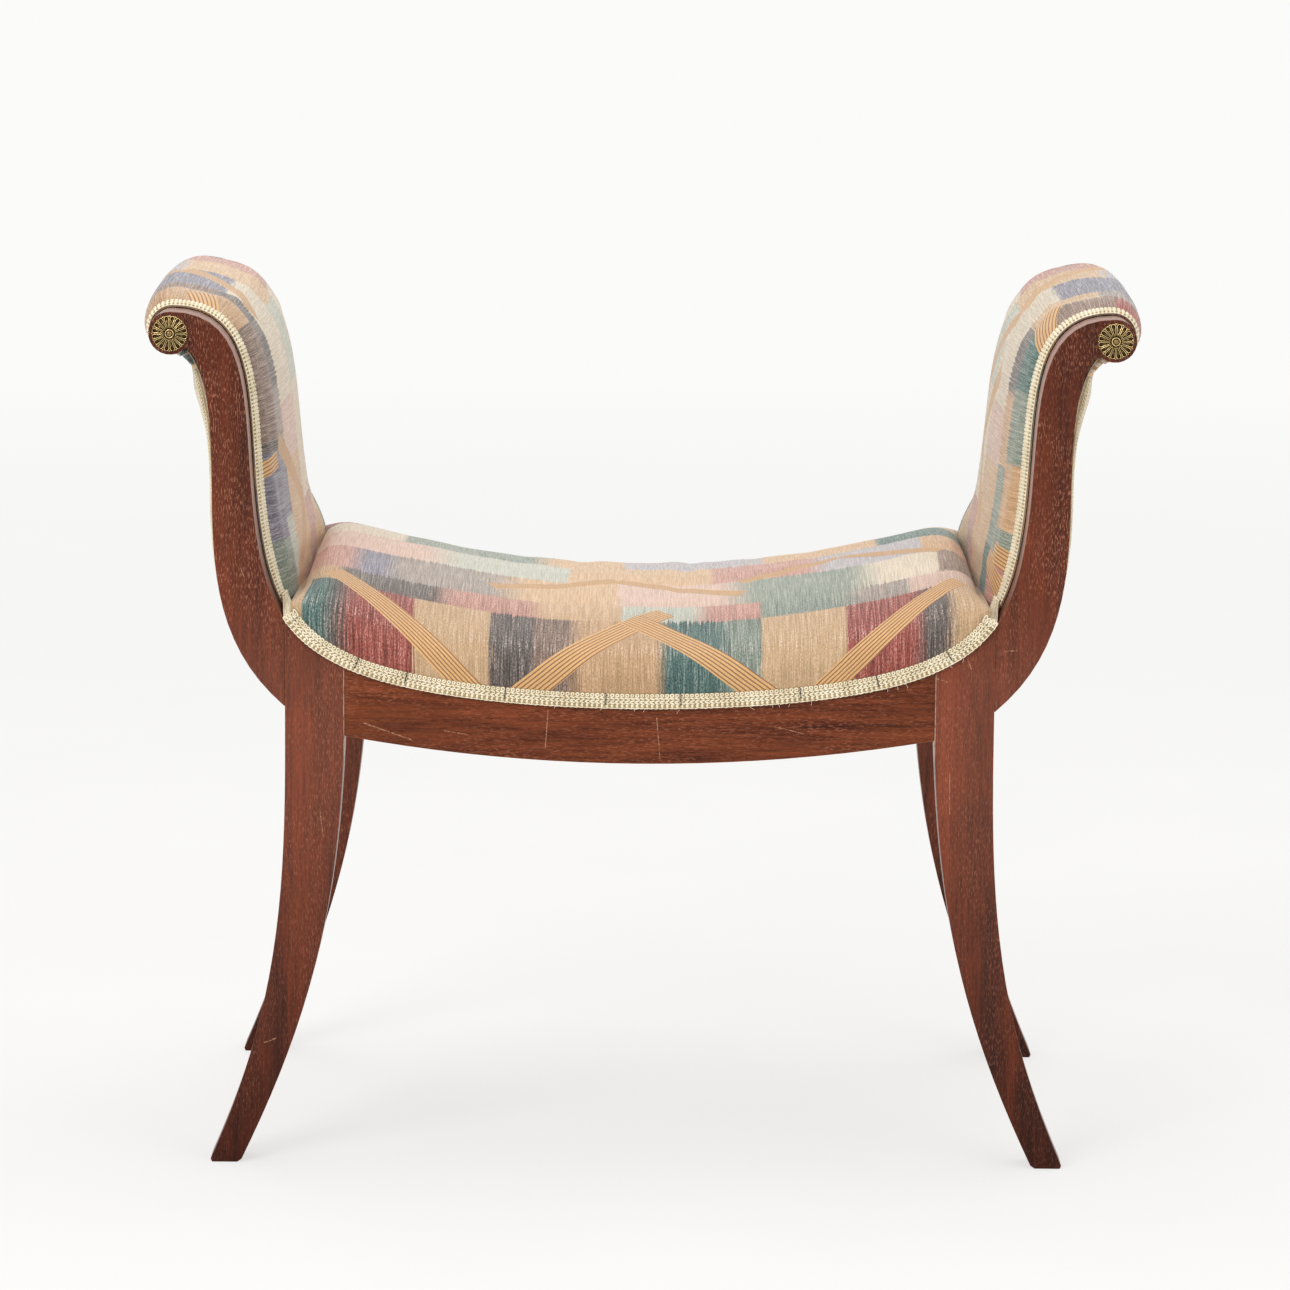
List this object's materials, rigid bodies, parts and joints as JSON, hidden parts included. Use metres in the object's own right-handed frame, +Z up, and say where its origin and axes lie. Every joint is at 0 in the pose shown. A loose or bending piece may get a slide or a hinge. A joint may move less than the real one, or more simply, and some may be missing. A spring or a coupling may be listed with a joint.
{
  "type": "upholstered window seat",
  "caption": "Rigid window seat with sabre legs, out-scrolled upholstered arms, a dished padded seat, braid trim and brass rosettes.",
  "frame": {"origin": "middle of the footprint, on the floor that the four feet stand on", "axes": "+X along the seat from the left arm to the right arm, +Y from the front to the back, +Z up"},
  "size_m": [0.8268, 0.412, 0.7257],
  "materials": {
    "mahogany": "satin polished red-brown mahogany with fine pores and worn edges",
    "inner_wood": "plain unpolished beech",
    "brass": "pressed brass, darkened in the hollows and rubbed bright on the ridges",
    "jute": "coarse woven jute",
    "hair_stuffing": "curled hair and cotton wadding",
    "upholstery_fabric": "slubby ribbed weave in a soft patchwork of tan, teal, rose, slate and cream",
    "gimp_braid": "cream looped braid"
  },
  "bodies": {
    "root": {"sabre_leg_front_left": "mahogany", "sabre_leg_front_right": "mahogany", "sabre_leg_rear_left": "mahogany", "sabre_leg_rear_right": "mahogany", "scroll_stile_front_left": "mahogany", "scroll_stile_front_right": "mahogany", "scroll_stile_rear_left": "mahogany", "scroll_stile_rear_right": "mahogany", "joint_dowel_front_left": "inner_wood", "joint_dowel_front_right": "inner_wood", "joint_dowel_rear_left": "inner_wood", "joint_dowel_rear_right": "inner_wood", "corner_block_front_left": "inner_wood", "corner_block_front_right": "inner_wood", "corner_block_rear_left": "inner_wood", "corner_block_rear_right": "inner_wood", "scroll_rosette_front_left": "brass", "scroll_rosette_front_right": "brass", "scroll_rosette_rear_left": "brass", "scroll_rosette_rear_right": "brass", "rosette_pin_front_left": "brass", "rosette_pin_front_right": "brass", "rosette_pin_rear_left": "brass", "rosette_pin_rear_right": "brass", "arm_gimp_front_left": "gimp_braid", "arm_gimp_front_right": "gimp_braid", "arm_gimp_rear_left": "gimp_braid", "arm_gimp_rear_right": "gimp_braid", "seat_rail_front": "mahogany", "seat_rail_rear": "mahogany", "seat_gimp_front": "gimp_braid", "seat_gimp_rear": "gimp_braid", "side_rail_left": "mahogany", "side_rail_right": "mahogany", "scroll_rail_left": "inner_wood", "scroll_rail_right": "inner_wood", "arm_tacking_rail_left": "inner_wood", "arm_tacking_rail_right": "inner_wood", "arm_hessian_left": "jute", "arm_hessian_right": "jute", "arm_stuffing_left": "hair_stuffing", "arm_stuffing_right": "hair_stuffing", "arm_cover_inside_left": "upholstery_fabric", "arm_cover_inside_right": "upholstery_fabric", "arm_cover_outside_left": "upholstery_fabric", "arm_cover_outside_right": "upholstery_fabric", "cross_strap_1": "jute", "cross_strap_2": "jute", "cross_strap_3": "jute", "cross_strap_4": "jute", "cross_strap_5": "jute", "long_strap_1": "jute", "long_strap_2": "jute", "long_strap_3": "jute", "seat_hessian": "jute", "seat_stuffing": "hair_stuffing", "seat_cover": "upholstery_fabric"}
  },
  "joints": []
}
